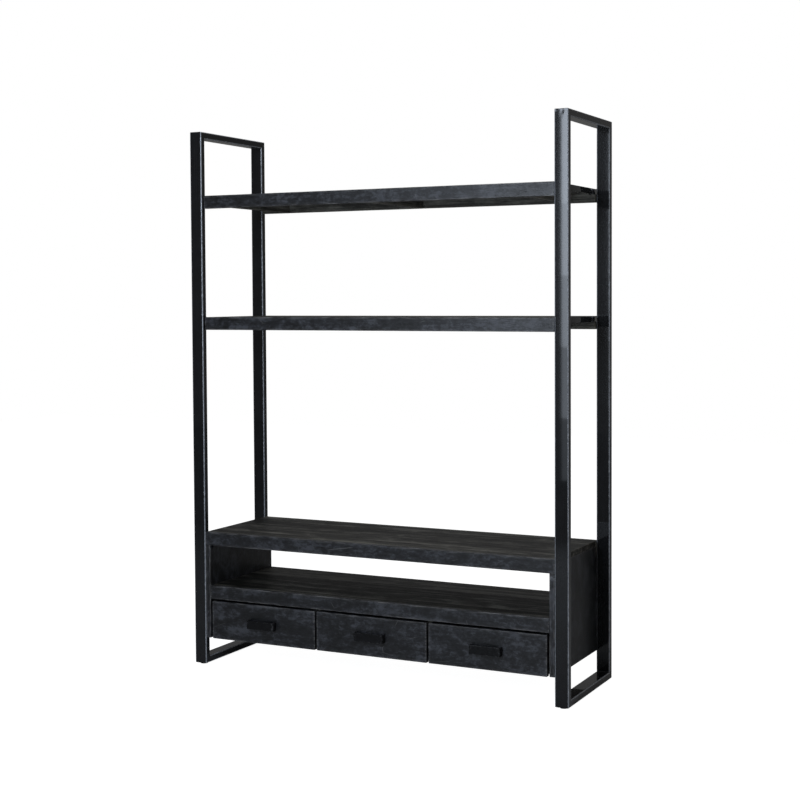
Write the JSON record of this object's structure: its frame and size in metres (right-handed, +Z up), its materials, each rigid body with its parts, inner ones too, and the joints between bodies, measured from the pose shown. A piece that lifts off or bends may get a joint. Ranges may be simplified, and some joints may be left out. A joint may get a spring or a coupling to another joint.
{
  "type": "bookcase",
  "caption": "Tall open bookcase with black steel side frames, lipped dark wood shelves and a low cabinet with an open compartment over a row of pull-out drawers.",
  "frame": {"origin": "on the floor, in the middle of the outer box, handles included", "axes": "+X to the right of someone facing the drawers, +Y to the back, +Z up"},
  "size_m": [1.5, 0.47, 2.005],
  "materials": {
    "frame_steel": "black powder coat, satin",
    "glide_plastic": "matt black",
    "black_wood": "black stained, brushed grain, light wear on the arrises",
    "drawer_box_wood": "dark stained, matt",
    "handle_iron": "black, hammered, satin"
  },
  "bodies": {
    "root": {"left_front_post": "frame_steel", "left_back_post": "frame_steel", "left_top_rail": "frame_steel", "left_bottom_rail": "frame_steel", "left_front_glide": "glide_plastic", "left_back_glide": "glide_plastic", "right_front_post": "frame_steel", "right_back_post": "frame_steel", "right_top_rail": "frame_steel", "right_bottom_rail": "frame_steel", "right_front_glide": "glide_plastic", "right_back_glide": "glide_plastic", "upper_shelf_front_edge": "black_wood", "upper_shelf_back_edge": "black_wood", "upper_shelf_board": "black_wood", "upper_shelf_left_batten": "black_wood", "upper_shelf_middle_batten": "black_wood", "upper_shelf_right_batten": "black_wood", "upper_shelf_left_angle": "frame_steel", "upper_shelf_right_angle": "frame_steel", "lower_shelf_front_edge": "black_wood", "lower_shelf_back_edge": "black_wood", "lower_shelf_board": "black_wood", "lower_shelf_left_batten": "black_wood", "lower_shelf_middle_batten": "black_wood", "lower_shelf_right_batten": "black_wood", "lower_shelf_left_angle": "frame_steel", "lower_shelf_right_angle": "frame_steel", "cabinet_top_front_edge": "black_wood", "cabinet_top_back_edge": "black_wood", "cabinet_top_board": "black_wood", "cabinet_left_panel": "black_wood", "cabinet_right_panel": "black_wood", "cabinet_middle_front_edge": "black_wood", "cabinet_middle_board": "black_wood", "cabinet_back_panel": "black_wood", "cabinet_floor": "black_wood", "divider_left_middle": "black_wood", "divider_middle_right": "black_wood"},
    "drawer_left": {"left_drawer_front": "black_wood", "left_drawer_left_side": "drawer_box_wood", "left_drawer_right_side": "drawer_box_wood", "left_drawer_back": "drawer_box_wood", "left_drawer_base": "drawer_box_wood", "left_handle": "handle_iron"},
    "drawer_middle": {"middle_drawer_front": "black_wood", "middle_drawer_left_side": "drawer_box_wood", "middle_drawer_right_side": "drawer_box_wood", "middle_drawer_back": "drawer_box_wood", "middle_drawer_base": "drawer_box_wood", "middle_handle": "handle_iron"},
    "drawer_right": {"right_drawer_front": "black_wood", "right_drawer_left_side": "drawer_box_wood", "right_drawer_right_side": "drawer_box_wood", "right_drawer_back": "drawer_box_wood", "right_drawer_base": "drawer_box_wood", "right_handle": "handle_iron"}
  },
  "joints": [
    {"name": "left_drawer_slide", "type": "slide", "parent": "root", "child": "drawer_left", "axis": [0, -1, 0], "range_m": [0, 0.3]},
    {"name": "middle_drawer_slide", "type": "slide", "parent": "root", "child": "drawer_middle", "axis": [0, -1, 0], "range_m": [0, 0.3]},
    {"name": "right_drawer_slide", "type": "slide", "parent": "root", "child": "drawer_right", "axis": [0, -1, 0], "range_m": [0, 0.3]}
  ]
}
